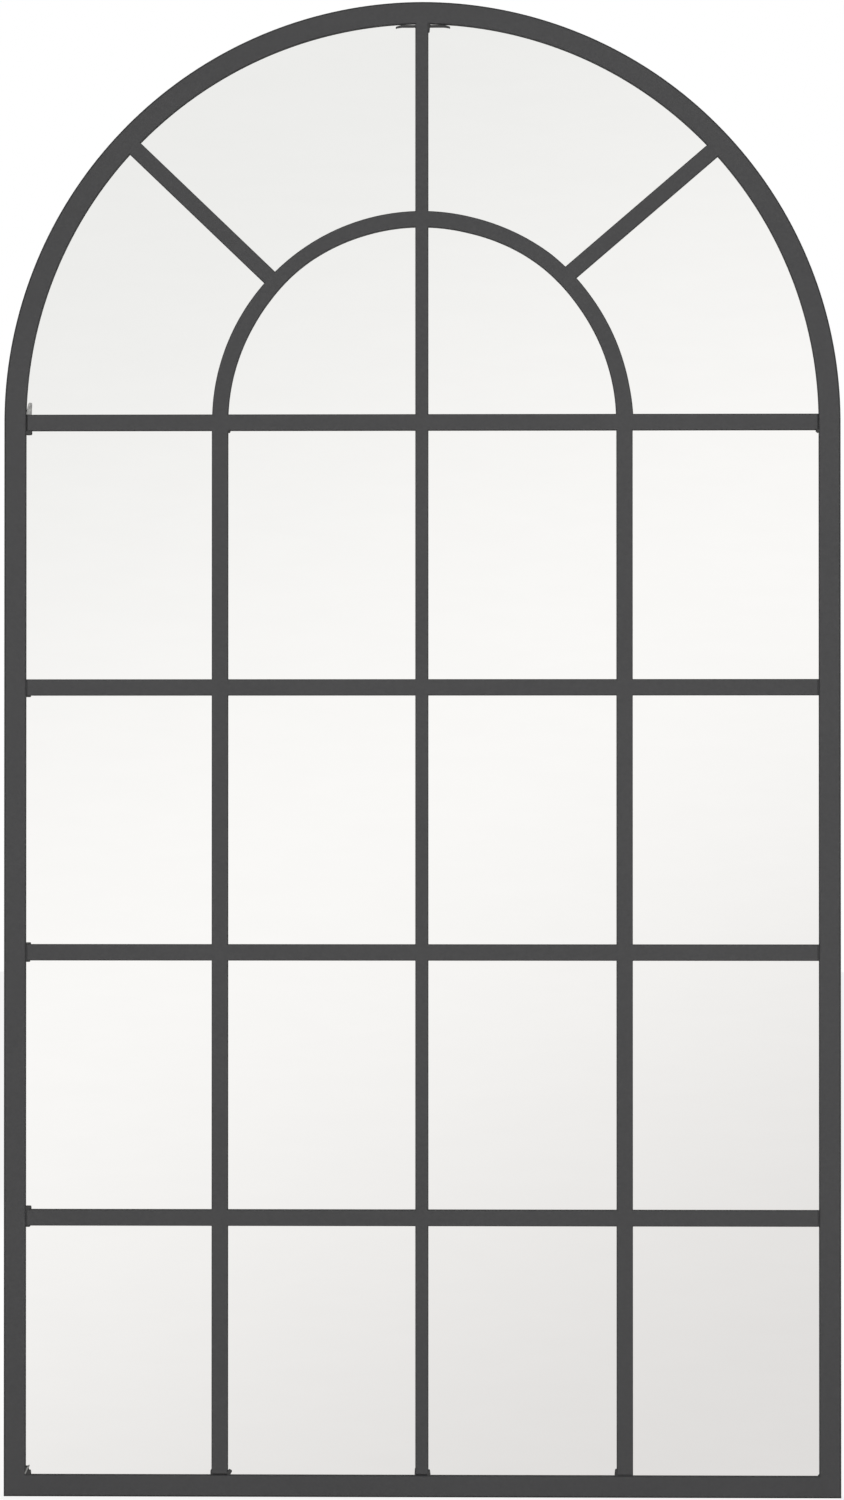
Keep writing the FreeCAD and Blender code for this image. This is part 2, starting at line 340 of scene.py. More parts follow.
# Mirror backing lacquer: curtain-coated, dull grey green.
backLacquer, tree, shader = newMaterial("mirrorBackLacquer", Roughness=0.5)
flow = noiseOf(tree, patternPlace(tree, (6, 1, 1)), 40, 3.0)
tree.links.new(mixColours(tree, flow, "#58625f", "#64706b"), shader.inputs["Base Color"])
tree.links.new(bumpFrom(tree, flow, 0.02), shader.inputs["Normal"])

# Raw medium density fibreboard: pressed wood fibre, sanded. Even tan with fine light and
# dark fibres lying every way; a sawn edge is darker and furry.
boardFinish = {
    "light": "#b3946f", "dark": "#947653", "fibre": 2.4, "fleck": 6.0, "depth": 0.05,
    "curl": 9.0, "curlReach": 14.0, "fine": 0.9, "cloud": 90,
}


def fibreboard(name, light, dark, depth):
    material, tree, shader = newMaterial(name, Roughness=0.8)
    # fibres really 0.1 mm wide and a few long, drawn coarser and curled by a second noise
    place = patternPlace(tree)
    curl = addNode(
        tree, "TexNoise", values={"Scale": 1 / boardFinish["curl"], "Detail": 2.0}, links={"Vector": place},
    ).outputs["Color"]
    curled = addNode(
        tree, "VectorMath", {"operation": "MULTIPLY_ADD"}, {1: [boardFinish["curlReach"]] * 3},
        {0: curl, 2: place},
    ).outputs["Vector"]
    across = noiseOf(tree, curled, boardFinish["fibre"], 5.0, 0.6)
    fine = noiseOf(tree, place, boardFinish["fine"], 2.0)
    fibres = addNode(tree, "Math", {"operation": "MULTIPLY"}, links={0: across, 1: fine}).outputs[0]
    fleck = addNode(
        tree, "TexVoronoi", {"feature": "F1"}, {"Scale": 1 / boardFinish["fleck"], "Randomness": 1.0},
        {"Vector": curled},
    ).outputs["Distance"]
    cloud = noiseOf(tree, patternPlace(tree), boardFinish["cloud"], 4.0)
    base = mixColours(tree, fibres, dark, light, 0.14, 0.38)
    darkFlecks = mixColours(tree, fleck, "#d3c4ae", "#ffffff", 0.06, 0.18)
    clouds = mixColours(tree, cloud, "#efeae3", "#ffffff")
    for tint in (darkFlecks, clouds):
        base = multiplyColours(tree, base, tint)
    tree.links.new(base, shader.inputs["Base Color"])
    tree.links.new(spread(tree, across, 0.7, 0.88), shader.inputs["Roughness"])
    tree.links.new(bumpFrom(tree, fibres, depth), shader.inputs["Normal"])
    return material


boardFace = fibreboard("rawFibreboard", boardFinish["light"], boardFinish["dark"], boardFinish["depth"])
boardEdge = fibreboard("sawnFibreboardEdge", "#93734f", "#6d5035", 0.15)

# Bright zinc plating on a pressed screw: a hard, slightly blue shine with plating cloud.
zincPlate, tree, shader = newMaterial("brightZincPlate", Metallic=1.0, Roughness=0.3)
place = patternPlace(tree)
cloudy = noiseOf(tree, place, 1.5, 3.0)
tree.links.new(mixColours(tree, cloudy, "#b4b8ba", "#d2d5d6"), shader.inputs["Base Color"])
tree.links.new(spread(tree, cloudy, 0.24, 0.4), shader.inputs["Roughness"])
tree.links.new(bumpFrom(tree, cloudy, 0.01), shader.inputs["Normal"])


# Closed-cell foams and rubber: black, matt and finely pitted, the pits drawn near 1 mm.
def blackFoam(name, tone, deep, cell, depth, roughness):
    material, tree, shader = newMaterial(name, Roughness=roughness)
    place = patternPlace(tree)
    cells = addNode(
        tree, "TexVoronoi", {"feature": "F1"}, {"Scale": 1 / cell}, {"Vector": place},
    ).outputs["Distance"]
    tree.links.new(mixColours(tree, cells, deep, tone, 0.1, 0.6), shader.inputs["Base Color"])
    matt = spread(tree, noiseOf(tree, place, 8), roughness - 0.08, roughness + 0.05)
    tree.links.new(matt, shader.inputs["Roughness"])
    tree.links.new(bumpFrom(tree, cells, depth), shader.inputs["Normal"])
    return material


tapeFoam = blackFoam("closedCellTape", "#262626", "#181818", 0.9, 0.1, 0.85)
blockRubber = blackFoam("epdmRubber", "#2a2a2a", "#222222", 2.0, 0.03, 0.7)
padFoam = blackFoam("evaPadFoam", "#303032", "#1f1f20", 1.1, 0.15, 0.85)
print("finishes made")


# outer frame of steel angle

angleBar = {
    "heel": 1.5, "toe": 0.8, "innerToe": 1.2, "root": 2.0, "backToe": 0.5, "steps": 144, "flat": 1.0,
}
mitre = math.sqrt(0.5)


def angleSection(name):
    # the flat section at the right end of the spring line, heel to the right and front, with
    # the edges of its face eased flat
    right, front, wall = sizes["radius"], sizes["front"], sizes["wall"]
    section = startPiece(
        name, "plane", (wall, wall, 1), (right - wall / 2, front + wall / 2, sizes["spring"]),
    )
    pick("EDGE", lambda m, d: near(m.x, legInside))
    extrudeBy(-(sizes["face"] - wall), 0, 0)
    pick("EDGE", lambda m, d: near(m.y, front + wall) and m.x > legInside)
    extrudeBy(0, sizes["depth"] - wall, 0)
    bpy.ops.mesh.select_all(action="SELECT")
    bpy.ops.mesh.remove_doubles(threshold=0.001 * mm)
    bpy.ops.mesh.dissolve_limited(angle_limit=0.02)
    corners = (
        ("heel", right, front), ("toe", inside, front), ("innerToe", inside, front + wall),
        ("root", legInside, front + wall), ("innerToe", legInside, 0.0), ("backToe", right, 0.0),
    )
    for kind, x, y in corners:
        pick("VERT", lambda p: near(p.x, x) and near(p.y, y))
        roundOff(angleBar[kind], 1 if kind in ("heel", "toe") else 5, corners=True)
    return section


def spinOver(steps, height):
    # a half circle of the flat section, from the right over the top
    bpy.ops.mesh.select_all(action="SELECT")
    bpy.ops.mesh.spin(steps=steps, angle=math.pi, center=(0, 0, height * mm), axis=(0, 1, 0))


def atStep(p, a, steps, height):
    # whether a vertex belongs to the section at angle a of such a half circle
    return abs(math.atan2(p.z - height, p.x) % (2 * math.pi) - a) < 0.2 * math.pi / steps


archHead = angleSection("archHead")
spinOver(angleBar["steps"], sizes["spring"])
# bent in rolls, so it lies up to a millimetre flat at its shoulders
for step in range(1, angleBar["steps"]):
    a = math.pi * step / angleBar["steps"]
    pick("VERT", lambda p: atStep(p, a, angleBar["steps"], sizes["spring"]))
    inwards = angleBar["flat"] * abs(math.sin(2 * a)) * (1 - 0.5 * math.sin(a) ** 2)
    moveBy(-inwards * math.cos(a), 0, -inwards * math.sin(a))
finishPiece(archHead, powderCoat, "powder_coated_steel", "arch_head")

rightStile = angleSection("rightStile")
bpy.ops.mesh.select_all(action="SELECT")
extrudeBy(0, 0, sizes["bottom"] - sizes["spring"])
sliceAt((sizes["radius"], 0, sizes["bottom"]), (mitre, 0, mitre), keep="above")
finishPiece(rightStile, powderCoat, "powder_coated_steel", "right_stile")
leftStile = copyPiece(rightStile, "leftStile", flip=True)
finishPiece(leftStile, powderCoat, "powder_coated_steel", "left_stile")

bottomRail = angleSection("bottomRail")
makeActive(bottomRail)
bottomRail.rotation_euler = (0, math.radians(90), 0)
down = sizes["bottom"] + sizes["radius"]
bottomRail.location = ((sizes["radius"] - sizes["spring"]) * mm, 0, down * mm)
bpy.ops.object.transform_apply()
openPiece(bottomRail)
bpy.ops.mesh.select_all(action="SELECT")
extrudeBy(-2 * sizes["radius"], 0, 0)
sliceAt((sizes["radius"], 0, sizes["bottom"]), (mitre, 0, mitre), keep="below")
sliceAt((-sizes["radius"], 0, sizes["bottom"]), (-mitre, 0, mitre), keep="below")
finishPiece(bottomRail, powderCoat, "powder_coated_steel", "bottom_rail")
print("outer frame made")


# glazing bars of flat bar

flatBar = {
    "arris": 0.75, "backArris": 0.3, "grooveWidth": 1.7, "grooveReach": 1.2, "grooveDepth": 1.9,
    "shallow": 1.1, "slack": 0.03, "overlap": 0.8, "cope": 1.6, "steps": 112,
}


def crossBar(name, height, crossed, node):
    # its front half runs right through, its back half stops at each upright
    half = sizes["bar"] / 2
    lap = (sizes["front"] + sizes["barBack"]) / 2
    bar = startPiece(
        name, "cube", (2 * inside, lap - sizes["front"], 2 * half),
        (0, (sizes["front"] + lap) / 2, height),
    )
    for x, width in crossed:
        for way in (-1, 1):
            sliceAt((x + way * (width / 2 + flatBar["slack"]), 0, 0), (1, 0, 0))
    pick("FACE", lambda m, n: n.y > 0.9 and not any(abs(m.x - x) < width / 2 for x, width in crossed))
    extrudeBy(0, sizes["barBack"] - lap, 0)
    pick("EDGE", lambda m, d: abs(d.x) > 0.9 and near(m.y, sizes["front"]))
    roundOff(flatBar["arris"], 1)
    pick("EDGE", lambda m, d: (
        abs(d.x) > 0.9 and near(m.y, sizes["barBack"]) and near(abs(m.z - height), half)
    ))
    roundOff(flatBar["backArris"], 2)
    depth = flatBar["shallow"] if crossed else flatBar["grooveDepth"]
    grooveEnds(0, ((-inside, -1), (inside, 1)), depth)
    bar["node"] = node
    return bar


def grooveEnds(axis, ends, depth):
    # slopes the front back where the bar's ends butt against the frame's face; each end is its
    # place along the axis and the way it points
    for end, way in ends:
        plane, direction = [0, 0, 0], [0, 0, 0]
        plane[axis] = end - way * flatBar["grooveWidth"]
        direction[axis] = 1
        sliceAt(plane, direction)
        pick("VERT", lambda p: near(p[axis], end) and p.y < sizes["front"] + flatBar["grooveReach"])
        moveBy(0, depth, 0)


crossed = [
    (-sizes["upright"], sizes["bar"]), (0, sizes["centreBar"]),
    (sizes["upright"] + sizes["rightOut"], sizes["bar"]),
]
transomBar = crossBar("transomBar", sizes["transom"], [], "transom_bar")
crossBars = [
    crossBar(name + "CrossBar", height, crossed, name + "_cross_bar")
    for name, height in zip(("upper", "middle", "lower"), sizes["crossings"])
]


def uprightBar(name, x, width, low, high):
    bar = startPiece(
        name, "cube", (width, sizes["barBack"] - sizes["front"], high - low),
        (x, (sizes["front"] + sizes["barBack"]) / 2, (low + high) / 2),
    )
    pick("EDGE", lambda m, d: abs(d.z) > 0.9 and near(m.y, sizes["front"]))
    roundOff(flatBar["arris"], 1)
    pick("EDGE", lambda m, d: abs(d.z) > 0.9 and near(m.y, sizes["barBack"]))
    roundOff(flatBar["backArris"], 2)
    return bar


transomFoot = sizes["transom"] - sizes["bar"] / 2
transomTop = sizes["transom"] + sizes["bar"] / 2
for name, (x, width) in zip(("left", "centre", "right"), crossed):
    upright = uprightBar(name + "UprightBar", x, width, sizes["sill"], transomFoot + flatBar["overlap"])
    depth = flatBar["shallow"] if name == "right" else flatBar["grooveDepth"]
    grooveEnds(2, [(sizes["sill"], -1)], depth)
    for other in crossBars + [transomBar]:
        cutWith(upright, other)
    finishPiece(upright, powderCoat, "powder_coated_steel", name + "_upright_bar")

# the inner arch is bent by hand to nearly a half circle and coped over the transom; each bend is
# an angle, and how far the inner and the outer edge lie outside a true circle there
ringBends = [
    (0, 0.2, 1.8), (5, 0.2, 1.2), (9, 0.1, 0.65), (16, -0.15, 0.3), (28, -0.4, 0.05),
    (36, -0.35, 0.05), (44, 0.2, 0.45), (52, 0.65, 0.85), (59, 0.55, 0.5), (68, 0.0, 0.0),
    (76, -0.5, -0.25), (90, -0.3, -0.05), (107, 0.0, -0.1), (125, 0.75, -0.25), (132, 0.6, -0.25),
    (142, -0.25, -0.3), (150, -0.55, -0.15), (160, -0.45, 0.0), (172, -0.15, 0.25), (180, 0.0, 0.3),
]


def bendAt(angle, edge):
    for low, high in zip(ringBends, ringBends[1:]):
        if angle <= high[0]:
            part = (angle - low[0]) / (high[0] - low[0])
            return low[edge] + part * (high[edge] - low[edge])
    return ringBends[-1][edge]


innerArchBar = startPiece(
    "innerArchBar", "plane", (sizes["ringBar"], 3, 1),
    (sizes["ring"], (sizes["front"] + sizes["barBack"]) / 2, sizes["ringSpring"]),
)
pick("VERT", lambda p: near(p.y, sizes["front"]))
roundOff(flatBar["arris"], 1, corners=True)
pick("VERT", lambda p: near(p.y, sizes["barBack"]))
roundOff(flatBar["backArris"], 2, corners=True)
spinOver(flatBar["steps"], sizes["ringSpring"])
for step in range(flatBar["steps"] + 1):
    a = math.pi * step / flatBar["steps"]
    for edge, way in ((1, -1), (2, 1)):
        pick("VERT", lambda p: (
            atStep(p, a, flatBar["steps"], sizes["ringSpring"])
            and way * (math.hypot(p.x, p.z - sizes["ringSpring"]) - sizes["ring"]) > 0
        ))
        outwards = bendAt(math.degrees(a), edge)
        moveBy(outwards * math.cos(a), 0, outwards * math.sin(a))
sliceAt((0, 0, transomTop - flatBar["overlap"]), (0, 0, 1), keep="above")
bpy.ops.mesh.select_all(action="SELECT")
bpy.ops.mesh.normals_make_consistent(inside=False)
cutWith(innerArchBar, transomBar)

# each spoke: slope, how far it passes from the arch's centre, side and width
spokes = {
    "left": (43.8, -2.3, -1, 14.5), "right": (40.6, 13.6, 1, 14.5), "centre": (90.0, 0.0, 1, 12.0),
}
ringOuter = sizes["ring"] + sizes["ringBar"] / 2
for name, (slope, rise, side, width) in spokes.items():
    low, high = ringOuter - flatBar["cope"], inside + flatBar["cope"]
    spoke = uprightBar(name + "Spoke", -rise * side, width, low, high)
    makeActive(spoke)
    spoke.rotation_euler = (0, math.radians(side * (90 - slope)), 0)
    spoke.location = (0, 0, sizes["spring"] * mm)
    bpy.ops.object.transform_apply()
    cutWith(spoke, innerArchBar)
    cutWith(spoke, archHead)
    finishPiece(spoke, powderCoat, "powder_coated_steel", name + "_spoke")

innerCentreBar = uprightBar(
    "innerCentreBar", 0, sizes["centreBar"], transomTop - flatBar["overlap"],
    sizes["ringSpring"] + sizes["ring"] - sizes["ringBar"] / 2 + flatBar["overlap"],
)
cutWith(innerCentreBar, transomBar)
cutWith(innerCentreBar, innerArchBar)
finishPiece(innerCentreBar, powderCoat, "powder_coated_steel", "inner_centre_bar")
finishPiece(innerArchBar, powderCoat, "powder_coated_steel", "inner_arch_bar")
for bar in crossBars + [transomBar]:
    finishPiece(bar, powderCoat, "powder_coated_steel", bar["node"])
print("glazing bars made")


# mirror, backing board and what beds them

sheetCut = {
    "glassGap": 2.0, "boardGap": 3.0, "foot": -955.0, "glassArris": 0.5, "boardArris": 0.3, "points": 240,
}


def archedSheet(name, radius, front, back, arris):
    # a half disc drawn down to a foot, then given its thickness
    sheet = startPiece(
        name, "circle", (radius, radius, radius), (0, front, sizes["spring"]), (90, 0, 0),
        vertices=sheetCut["points"], fill_type="NGON",
    )
    sliceAt((0, 0, sizes["spring"]), (0, 0, 1), keep="above")
    pick("EDGE", lambda m, d: near(m.z, sizes["spring"]) and abs(d.x) > 0.99)
    extrudeBy(0, 0, sheetCut["foot"] - sizes["spring"])
    bpy.ops.mesh.select_all(action="SELECT")
    bpy.ops.mesh.dissolve_limited(angle_limit=0.001)
    bpy.ops.mesh.select_all(action="SELECT")
    extrudeBy(0, back - front, 0)
    bpy.ops.mesh.select_all(action="SELECT")
    bpy.ops.mesh.normals_make_consistent(inside=False)
    pick("EDGE", lambda m, d: abs(d.y) < 0.1)
    roundOff(arris, 2)
    return sheet


def facesOf(piece, materials):
    # materials for the front, the rim and the back
    for material in materials:
        piece.data.materials.append(material)
    openPiece(piece)
    sides = (lambda m, n: n.y < -0.99, lambda m, n: abs(n.y) <= 0.99, lambda m, n: n.y > 0.99)
    for index, test in enumerate(sides):
        pick("FACE", test)
        piece.active_material_index = index
        bpy.ops.object.material_slot_assign()


mirrorSheet = archedSheet(
    "mirrorSheet", legInside - sheetCut["glassGap"], sizes["glassFront"], sizes["glassBack"],
    sheetCut["glassArris"],
)
facesOf(mirrorSheet, (silver, glassRim, backLacquer))
finishPiece(mirrorSheet, silver, "silvered_glass", "mirror_sheet")
backingBoard = archedSheet(
    "backingBoard", legInside - sheetCut["boardGap"], sizes["glassBack"], sizes["boardBack"],
    sheetCut["boardArris"],
)
facesOf(backingBoard, (boardFace, boardEdge, boardFace))
finishPiece(backingBoard, boardFace, "raw_fibreboard", "backing_board")

for name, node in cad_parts.items():
    if name.endswith("_tape"):
        paintAll(node, tapeFoam)
    if name.endswith("_setting_block"):
        paintAll(node, blockRubber)
print("mirror and board made")


# weld beads

beadShape = {
    "radius": 1.7, "step": 0.75, "ripples": 8, "tip": 0.45, "opening": 1.75, "swell": 1.16, "closing": 0.55,
}


def weldBead():
    # a short bead of overlapping ripples along Z, its middle at the world's centre
    length = beadShape["step"] * 2 * beadShape["ripples"]
    bead = startPiece(
        "weldBead", "circle", [beadShape["radius"] * beadShape["tip"]] * 3, (0, 0, -length / 2),
        vertices=14, fill_type="NGON",
    )
    z = -length / 2
    ripples = [beadShape["swell"], 1 / beadShape["swell"]] * (beadShape["ripples"] - 1)
    bpy.ops.mesh.select_all(action="SELECT")
    for scale in [beadShape["opening"]] + ripples + [beadShape["closing"]]:
        extrudeBy(0, 0, beadShape["step"])
        z += beadShape["step"]
        bpy.ops.transform.resize(value=(scale, scale, 1), center_override=(0, 0, z * mm))
    finishPiece(bead, weldCoat, "powder_coated_steel", smooth=60)
    return bead


bead = weldBead()


# retaining ears and screws

earShape = {
    "length": 18.0, "reach": 15.0, "thickness": 1.5, "corner": 2.5, "arris": 0.25, "hole": 1.8,
    "holeInset": 9.0, "beadInset": 0.5, "beadLift": 0.3,
}


def retainingEar():
    # drawn with its welded edge on the Z axis, reaching towards -X
    ear = startPiece(
        "retainingEar", "cube", (earShape["reach"], earShape["thickness"], earShape["length"]),
        (-earShape["reach"] / 2, sizes["boardBack"] + earShape["thickness"] / 2, 0),
    )
    pick("EDGE", lambda m, d: abs(d.y) > 0.9 and near(m.x, -earShape["reach"]))
    roundOff(earShape["corner"], 5)
    hole = startPiece(
        "earHole", "cylinder", (earShape["hole"], earShape["hole"], 6),
        (-earShape["holeInset"], sizes["boardBack"] + 1, 0), (90, 0, 0), vertices=32,
    )
    cutWith(ear, hole, discard=True)
    openPiece(ear)
    pick("EDGE", lambda m, d: near(m.y, sizes["earBack"]) and m.x < -0.1)
    roundOff(earShape["arris"], 2)
    makeActive(ear)
    bpy.ops.object.shade_smooth_by_angle(angle=math.radians(14))
    return ear


def aroundHead(radius, angle):
    # x and z of a place on a circle about the head's centre
    a = math.radians(angle)
    return radius * math.cos(a), sizes["spring"] + radius * math.sin(a)


def earPlaces():
    # x, z and turn of each ear
    arch = [(*aroundHead(legInside, angle), angle) for angle in (22.5, 67.5, 112.5, 157.5)]
    heights = [sizes["bottom"] + h for h in (140, 430, 720)]
    return {
        "arch": arch,
        "left": [(-legInside, h, 180) for h in heights],
        "right": [(legInside, h, 0) for h in heights],
        "bottom": [(x, sizes["bottom"] + sizes["wall"], -90) for x in (-240, 240)],
    }


screwShape = {
    "head": 3.0, "height": 2.0, "taper": 0.94, "dome": 1.1, "shankInset": 1.5, "shank": 3.0,
    "slot": 0.75, "slotReach": 1.9, "slotDepth": 1.1,
}


def panScrew():
    # a pan head with a cross recess; its shank is out of sight in the board
    top = sizes["earBack"] + screwShape["height"]
    screw = startPiece(
        "panScrew", "cylinder", (screwShape["head"], screwShape["head"], screwShape["height"]),
        (0, (sizes["earBack"] + top) / 2, 0), (90, 0, 0), vertices=40,
    )
    pick("FACE", lambda m, n: n.y > 0.9)
    taper = screwShape["taper"]
    bpy.ops.transform.resize(value=(taper, 1, taper), center_override=(0, top * mm, 0))
    pick("EDGE", lambda m, d: near(m.y, top))
    roundOff(screwShape["dome"], 5)
    pick("FACE", lambda m, n: n.y < -0.9)
    bpy.ops.mesh.inset(thickness=screwShape["shankInset"] * mm)
    extrudeBy(0, -screwShape["shank"], 0)
    for turn in (0, 90):
        arm = startPiece(
            "recess", "cube",
            (2 * screwShape["slotReach"], 2 * screwShape["slotDepth"], screwShape["slot"]),
            (0, top, 0), (0, turn, 0),
        )
        pick("FACE", lambda m, n: n.y < -0.9)
        slotFloor = (0, (top - screwShape["slotDepth"]) * mm, 0)
        bpy.ops.transform.resize(value=(0.5, 1, 0.5), center_override=slotFloor)
        cutWith(screw, arm, discard=True)
    return screw


ear = retainingEar()
screw = panScrew()
screws = []
for group, places in earPlaces().items():
    parts = []
    for x, z, turn in places:
        parts.append(copyPiece(ear, "ear", (x, 0, z), -turn))
        edge = copyPiece(bead, "bead", (-earShape["beadInset"], sizes["earBack"] + earShape["beadLift"], 0))
        parts.append(copyPiece(edge, "bead", (x, 0, z), -turn))
        bpy.data.objects.remove(edge)
        across = earShape["holeInset"] * math.cos(math.radians(turn))
        down = earShape["holeInset"] * math.sin(math.radians(turn))
        spun = copyPiece(screw, "spun", turn=random.uniform(0, 90))
        screws.append(copyPiece(spun, "screw", (x - across, 0, z - down)))
        bpy.data.objects.remove(spun)
    for part in parts:
        paintAll(part, powderCoat if part.name.startswith("ear") else weldCoat)
    ears = joinPieces(parts, group + "RetainingEars")
    finishPiece(ears, powderCoat, "powder_coated_steel", group + "_retaining_ears", smooth=0)
finishPiece(
    joinPieces(screws, "backingScrews"), zincPlate, "zinc_plated_steel", "backing_screws", smooth=25,
)
bpy.data.objects.remove(ear)
bpy.data.objects.remove(screw)
print("ears and screws made")


# keyhole plates

plate = {
    "hole": 355.0, "entry": 5.5, "slot": 2.5, "rise": 15.0, "width": 40.0, "above": 26.0, "below": 18.0,
    "thickness": 2.0, "corner": 5.0, "arris": 0.3, "beadIn": 4.5, "beadDepth": -1.75,
}
rightPlate = startPiece(
    "rightKeyholePlate", "cube", (plate["width"], plate["thickness"], plate["above"] + plate["below"]),
    (legInside - plate["width"] / 2, -plate["thickness"] / 2, (plate["above"] - plate["below"]) / 2),
)
pick("EDGE", lambda m, d: abs(d.y) > 0.9 and near(m.x, legInside - plate["width"]))
roundOff(plate["corner"], 6)
for height, radius in ((0, plate["entry"]), (plate["rise"], plate["slot"])):
    hole = startPiece(
        "plateHole", "cylinder", (radius, radius, 8), (plate["hole"], 0, height), (90, 0, 0), vertices=48,
    )
    cutWith(rightPlate, hole, discard=True)
slot = startPiece(
    "plateSlot", "cube", (2 * plate["slot"], 8, plate["rise"]), (plate["hole"], 0, plate["rise"] / 2),
)
cutWith(rightPlate, slot, discard=True)
openPiece(rightPlate)
pick("EDGE", lambda m, d: near(m.y, 0) and abs(d.y) < 0.1 and m.x < legInside - 0.1)
roundOff(plate["arris"], 2)
finishPiece(rightPlate, powderCoat, "powder_coated_steel", smooth=14)
plateBeads = []
for height in (-plate["below"], plate["above"]):
    flat = copyPiece(bead, "bead", turn=90)
    plateBeads.append(copyPiece(flat, "bead", (legInside - plate["beadIn"], plate["beadDepth"], height)))
    bpy.data.objects.remove(flat)
rightPlate = joinPieces([rightPlate] + plateBeads, "rightKeyholePlate")
leftPlate = copyPiece(rightPlate, "leftKeyholePlate", flip=True)
finishPiece(rightPlate, powderCoat, "powder_coated_steel", "right_keyhole_plate", smooth=0)
finishPiece(leftPlate, powderCoat, "powder_coated_steel", "left_keyhole_plate", smooth=0)
bpy.data.objects.remove(bead)
print("keyhole plates made")


# wall pads

padShape = {
    "side": 20.0, "corner": 3.0, "face": 1.5, "crown": 1.2,
    "upperRadius": 325, "upperAngle": 50, "lowerOut": 320, "lowerUp": 70,
}
pad = startPiece(
    "wallPad", "cube", (padShape["side"], padShape["face"] - sizes["boardBack"], padShape["side"]),
    (0, (padShape["face"] + sizes["boardBack"]) / 2, 0),
)
pick("EDGE", lambda m, d: abs(d.y) > 0.9)
roundOff(padShape["corner"], 5)
pick("EDGE", lambda m, d: near(m.y, padShape["face"]))
roundOff(padShape["crown"], 4)
x, z = aroundHead(padShape["upperRadius"], padShape["upperAngle"])
low = sizes["bottom"] + padShape["lowerUp"]
padPlaces = {
    "upper_left": (-x, z), "upper_right": (x, z),
    "lower_left": (-padShape["lowerOut"], low), "lower_right": (padShape["lowerOut"], low),
}
for name, (x, z) in padPlaces.items():
    first, second = name.split("_")
    made = copyPiece(pad, first + second.title() + "WallPad", (x, 0, z))
    finishPiece(made, padFoam, "wall_pad_foam", name + "_wall_pad", smooth=35)
bpy.data.objects.remove(pad)
print("wall pads made")


# weld metal that shows from the front

lumpShape = {"front": -19.6, "back": -16.6, "fractal": 0.35, "smooth": 0.35}


def weldLump(x, z, width, height, turn=0, foot=1.0):
    # a rounded lump in a corner, its lower end narrowed or widened by foot
    deep = lumpShape["back"] - lumpShape["front"]
    lump = startPiece("lump", "cube", (width, deep, height), (0, lumpShape["front"] + deep / 2, 0))
    pick("FACE", lambda m, n: n.z < -0.9)
    bpy.ops.transform.resize(value=(foot, 1, 1), center_override=(0, 0, -height / 2 * mm))
    bpy.ops.mesh.select_all(action="SELECT")
    bpy.ops.mesh.subdivide(number_cuts=2, fractal=lumpShape["fractal"], seed=int(abs(x) + abs(z)))
    bpy.ops.mesh.vertices_smooth(factor=lumpShape["smooth"])
    softened(lump)
    placed = copyPiece(lump, "lump", (x, 0, z), turn)
    bpy.data.objects.remove(lump)
    return placed


# each lump: x, z, width, height, turn and foot
frontWelds = {
    "transomWelds": [(-362.8, 19.5, 6.4, 4.2), (364.2, 20.4, 3.2, 3.4, 45), (-178.0, 20.5, 2.8, 2.4, 45)],
    "crossBarWelds": [
        (-362.8, -694.9, 5.8, 4.4), (-363.0, -451.4, 5.0, 2.2), (-363.2, -467.5, 4.0, 1.8),
        (-363.0, -223.5, 4.6, 1.8), (-363.2, -711.5, 4.4, 1.6),
    ],
    "leftFootWelds": [(-193.5, -937.8, 2.2, 5.4), (-177.4, -937.9, 3.8, 5.6, 30)],
    "centreFootWelds": [(-5.9, -937.0, 1.4, 7.0, 0, 1.3), (6.3, -937.8, 2.0, 6.0, 0, 1.8)],
    "rightFootWelds": [(178.8, -937.4, 2.4, 7.0, 0, 1.6)],
    "cornerWelds": [
        (-363.9, -936.4, 3.4, 8.4), (-362.1, -938.4, 3.5, 5.0, 0, 1.2), (364.8, -939.6, 1.6, 1.6, 45),
    ],
    "crownWelds": [(6.5, 392.6, 3.0, 9.0, 0, 0.4)],
}
for name, lumps in frontWelds.items():
    group = joinPieces([weldLump(*lump) for lump in lumps], name)
    finishPiece(group, weldCoat, "powder_coated_steel", smooth=50)

# a thin lip along the crown, a little inside the frame's edge, its ends turned down
lip = {
    "height": 393.8, "thick": 2.1, "left": -24.0, "right": 26.0, "front": -18.2, "back": -16.3,
    "bend": 6.0, "drop": 1.3, "thinning": 0.35, "arris": 0.2,
}
lipEnds = ((lip["left"], 1), (lip["right"], -1))
crownLip = startPiece(
    "crownLip", "cube", (lip["right"] - lip["left"], lip["back"] - lip["front"], lip["thick"]),
    ((lip["left"] + lip["right"]) / 2, (lip["front"] + lip["back"]) / 2, lip["height"]),
)
for part in (0.5, 1.0):
    for end, inward in lipEnds:
        sliceAt((end + inward * lip["bend"] * part, 0, 0), (1, 0, 0))
for part, share in ((0.5, 0.35), (0.0, 1.0)):
    height = lip["height"] - lip["drop"] * share
    for end, inward in lipEnds:
        pick("VERT", lambda p: near(p.x, end + inward * lip["bend"] * part))
        moveBy(0, 0, -lip["drop"] * share)
        bpy.ops.transform.resize(
            value=(1, 1, 1 - lip["thinning"] * share), center_override=(0, 0, height * mm),
        )
pick("EDGE", lambda m, d: abs(d.x) > 0.9)
roundOff(lip["arris"], 2)
finishPiece(crownLip, weldCoat, "powder_coated_steel", smooth=30)

